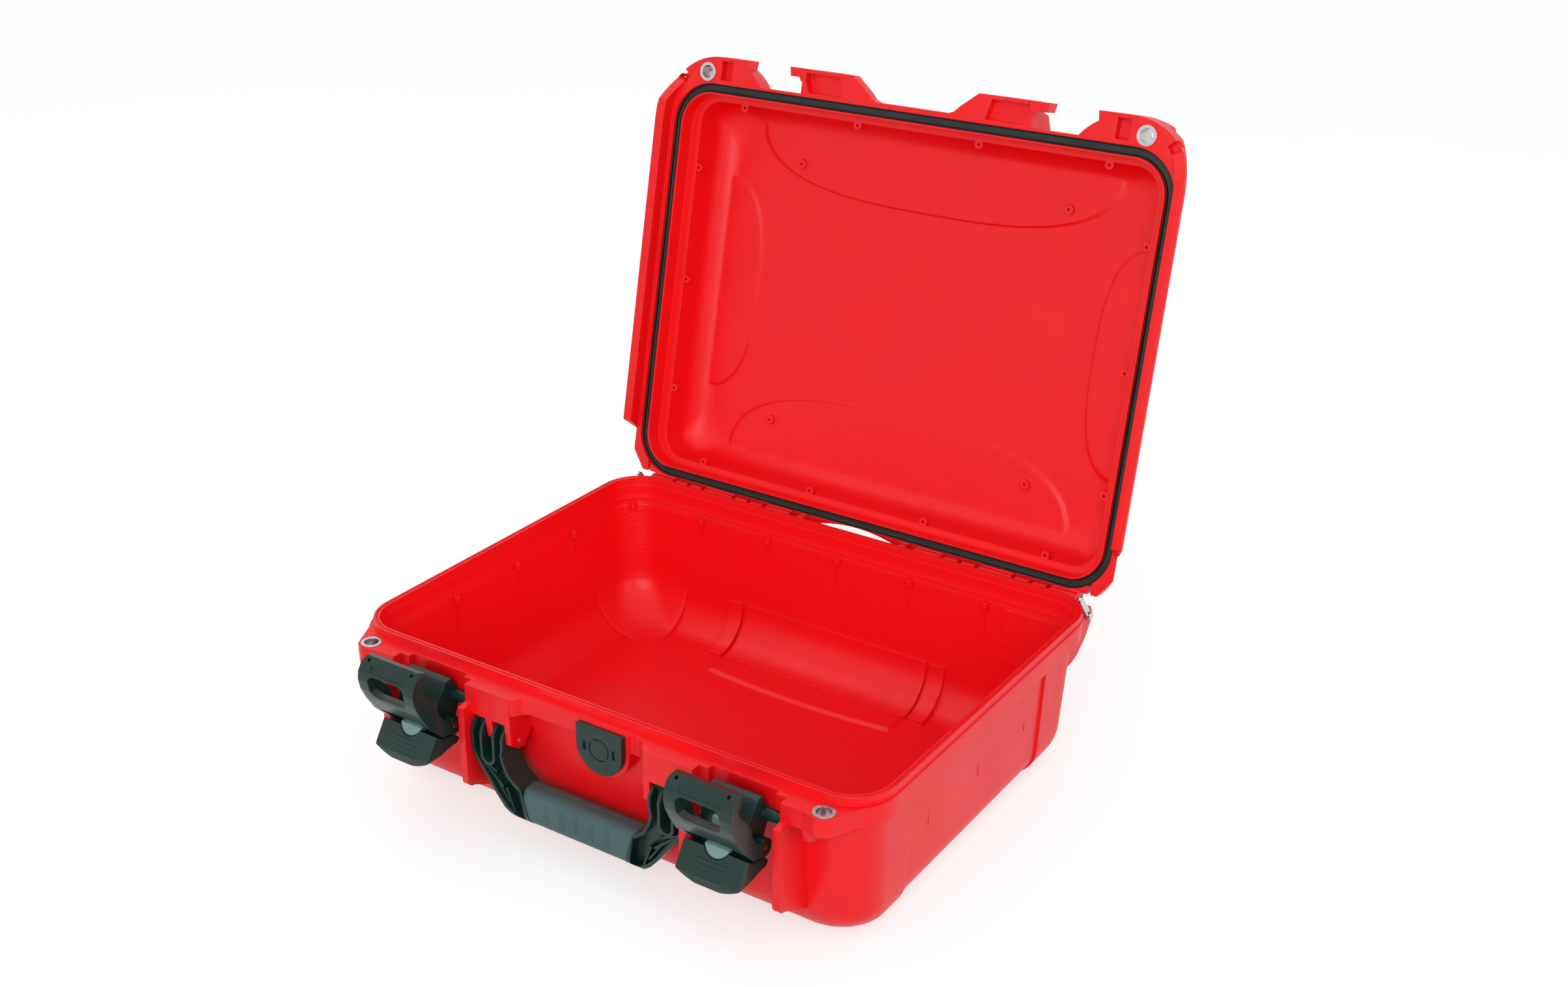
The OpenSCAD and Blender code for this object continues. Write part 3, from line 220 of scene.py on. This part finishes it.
def moulded(name, light, dark, rough, grain, depth, edge, blend=0.0, shine=0.5, stipple=False):
    """A moulded polymer: fine spark-eroded grain, slow mottling of colour and gloss, soft edges."""
    material, tree, shader = new_material(name)
    coords = tree.nodes.new("ShaderNodeTexCoord").outputs["Object"]
    cloud = noise(tree, coords, CLOUD_SCALE, 4, 0.6)
    fine = noise(tree, coords, grain, 3, 0.6)
    ripple = noise(tree, coords, RIPPLE_SCALE, 2)
    tone = mix_colours(tree, remap(tree, cloud, 0.35, 0.65, 0, 1), light, dark)
    tree.links.new(tone, shader.inputs["Base Color"])
    gloss = math_node(tree, "ADD", remap(tree, fine, 0.3, 0.7, rough - 0.05, rough + 0.06),
                      remap(tree, cloud, 0.3, 0.7, -0.03, 0.03))
    tree.links.new(gloss, shader.inputs["Roughness"])
    normal = bump(tree, fine, 0.5, depth, soft_edges(tree, edge, blend))
    if stipple:
        pips = math_node(tree, "MULTIPLY", noise(tree, coords, PIP_SCALE, 1), corner_patches(tree, coords))
        normal = bump(tree, pips, 0.8, PIP_HEIGHT, normal)
    tree.links.new(bump(tree, ripple, 0.12, RIPPLE_HEIGHT, normal), shader.inputs["Normal"])
    shader.inputs["Specular IOR Level"].default_value = shine
    return material


def metal(name, light, dark, rough, grain):
    """Drawn stainless steel: lengthwise drawing marks and slow mottling."""
    material, tree, shader = new_material(name)
    coords = tree.nodes.new("ShaderNodeTexCoord").outputs["Object"]
    stretch = tree.nodes.new("ShaderNodeMapping")
    stretch.inputs["Scale"].default_value = (0.06, 1, 1)
    tree.links.new(coords, stretch.inputs["Vector"])
    lines = noise(tree, stretch.outputs["Vector"], grain, 3)
    spots = noise(tree, coords, grain * 0.15, 2, 0.5)
    tree.links.new(mix_colours(tree, spots, light, dark), shader.inputs["Base Color"])
    tree.links.new(remap(tree, lines, 0.3, 0.7, rough - 0.06, rough + 0.1), shader.inputs["Roughness"])
    tree.links.new(bump(tree, lines, 0.25, 0.00005, soft_edges(tree, 0.0003)), shader.inputs["Normal"])
    shader.inputs["Metallic"].default_value = 1.0
    return material


SHELL = {"light": (0.87, 0.0022, 0.0045), "dark": (0.83, 0.0018, 0.005), "rough": 0.42, "grain": 1500,
         "depth": 0.00006, "edge": 0.0008, "blend": 0.005, "shine": 0.42}
RED = moulded("shell_red", **SHELL)
RED_BASE = moulded("shell_red_stippled", **SHELL, stipple=True)
DARK = moulded("latch_dark", light=(0.007, 0.030, 0.026), dark=(0.004, 0.021, 0.018), rough=0.32,
               grain=1300, depth=0.00005, edge=0.0008, blend=0.004, shine=0.36)
GRIP = moulded("grip_teal", light=(0.052, 0.108, 0.108), dark=(0.043, 0.092, 0.094), rough=0.55,
               grain=1100, depth=0.00007, edge=0.0009)
PALE = moulded("slide_pale", light=(0.17, 0.30, 0.29), dark=(0.14, 0.26, 0.25), rough=0.38,
               grain=1300, depth=0.00004, edge=0.0006)
SEAL = moulded("seal_rubber", light=(0.008, 0.017, 0.015), dark=(0.005, 0.011, 0.010), rough=0.55,
               grain=900, depth=0.00008, edge=0.0005)
CLOTH = moulded("membrane_white", light=(0.82, 0.82, 0.82), dark=(0.76, 0.76, 0.76), rough=0.8,
                grain=3000, depth=0.00005, edge=0.0001)
STEEL = metal("steel", light=(0.62, 0.62, 0.63), dark=(0.50, 0.50, 0.51), rough=0.22, grain=900)

BY_SLOT = {"shell_red": RED, "latch_dark": DARK, "grip_teal": GRIP, "slide_pale": PALE,
           "seal_rubber": SEAL, "membrane_white": CLOTH, "steel": STEEL}
for row in frame["record"]["subparts"]:
    for slot in nodes[row["node"]].material_slots:
        slot.material = RED_BASE if row["node"] == "base_shell" else BY_SLOT[row["material_slot"]]


# --------------------------------------------------------------- the seal
def lid_opened():
    """The turn that takes the closed lid to where it rests, open to the end of its hinge's range."""
    joint = next(joint for joint in frame["joints"] if joint["name"] == "lid_hinge")
    hinge = Vector(joint["pos_m"])
    turn = Matrix.Rotation(math.radians(-joint["range_deg"][1]), 4, "X")
    return Matrix.Translation(hinge) @ turn @ Matrix.Translation(-hinge)


def seal_bead():
    """The lid's rubber seal with two soft lips, laid in its groove and turned open with the lid."""
    turn = lid_opened()
    section = [(-u, z) for u, z in SEAL_SIDE] + SEAL_SIDE[::-1]
    build = bmesh.new()
    rings = []
    for quarter, (sx, sy) in enumerate(((1, 1), (-1, 1), (-1, -1), (1, -1))):
        for step in range(SEAL_CORNER_STEPS + 1):
            angle = math.radians(90 * quarter + step * 90 / SEAL_CORNER_STEPS)
            out = Vector((math.cos(angle), math.sin(angle), 0))
            centre = Vector((sx * (SEAL_HALF_X - SEAL_CORNER), sy * (SEAL_HALF_Y - SEAL_CORNER), 0))
            middle = centre + out * SEAL_CORNER
            rings.append([build.verts.new(turn @ (middle + out * u + Vector((0, 0, z)))) for u, z in section])
    for index, ring in enumerate(rings):
        after = rings[(index + 1) % len(rings)]
        for k in range(len(section)):
            j = (k + 1) % len(section)
            build.faces.new((ring[k], ring[j], after[j], after[k]))
    bmesh.ops.recalc_face_normals(build, faces=build.faces)
    mesh = bpy.data.meshes.new("seal_bead")
    build.to_mesh(mesh)
    build.free()
    for face in mesh.polygons:
        face.use_smooth = True
    piece = bpy.data.objects.new("seal_bead", mesh)
    link(piece)
    mesh.materials.append(SEAL)
    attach(piece, "lid")
    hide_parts("lid_seal")


seal_bead()


# ----------------------------------------------------- floor, world, lights
def light_path_factor(tree):
    """1 for camera, mirror and glass rays, 0 for the rays that light the object."""
    path = tree.nodes.new("ShaderNodeLightPath").outputs
    seen = math_node(tree, "MAXIMUM", path["Is Camera Ray"], path["Is Glossy Ray"])
    return math_node(tree, "MAXIMUM", seen, path["Is Transmission Ray"])


def white_floor():
    mesh = bpy.data.meshes.new("floor")
    build = bmesh.new()
    corners = ((-1, -1), (1, -1), (1, 1), (-1, 1))
    build.faces.new([build.verts.new((x * FLOOR_HALF, y * FLOOR_HALF, 0)) for x, y in corners])
    build.to_mesh(mesh)
    build.free()
    floor = bpy.data.objects.new("floor", mesh)
    link(floor)
    material, tree, shader = new_material("floor")
    coords = tree.nodes.new("ShaderNodeTexCoord").outputs["Object"]
    tree.links.new(mix_colours(tree, noise(tree, coords, 3, 2), *FLOOR_TONES), shader.inputs["Base Color"])
    shader.inputs["Roughness"].default_value = 0.9
    shader.inputs["Specular IOR Level"].default_value = 0.0
    shader.inputs["Emission Color"].default_value = (1, 1, 1, 1)
    glow = math_node(tree, "MULTIPLY", light_path_factor(tree), FLOOR_GLOW)
    tree.links.new(glow, shader.inputs["Emission Strength"])
    mesh.materials.append(material)


def white_world():
    world = bpy.data.worlds.new("world")
    scene.world = world
    world.use_nodes = True
    tree = world.node_tree
    back = tree.nodes["Background"]
    back.inputs["Color"].default_value = (1, 1, 1, 1)
    strength = remap(tree, light_path_factor(tree), 0, 1, WORLD_LIGHTS, WORLD_SEEN)
    tree.links.new(strength, back.inputs["Strength"])


def lamps():
    for name, place, size, power in LAMPS:
        data = bpy.data.lights.new(name, "AREA")
        data.shape = "SQUARE"
        data.size = size
        data.energy = power
        lamp = bpy.data.objects.new(name, data)
        lamp.location = place
        lamp.rotation_euler = (LAMPS_AIM - Vector(place)).to_track_quat("-Z", "Y").to_euler()
        link(lamp)


white_floor()
white_world()
lamps()
scene.view_settings.view_transform = "Standard"
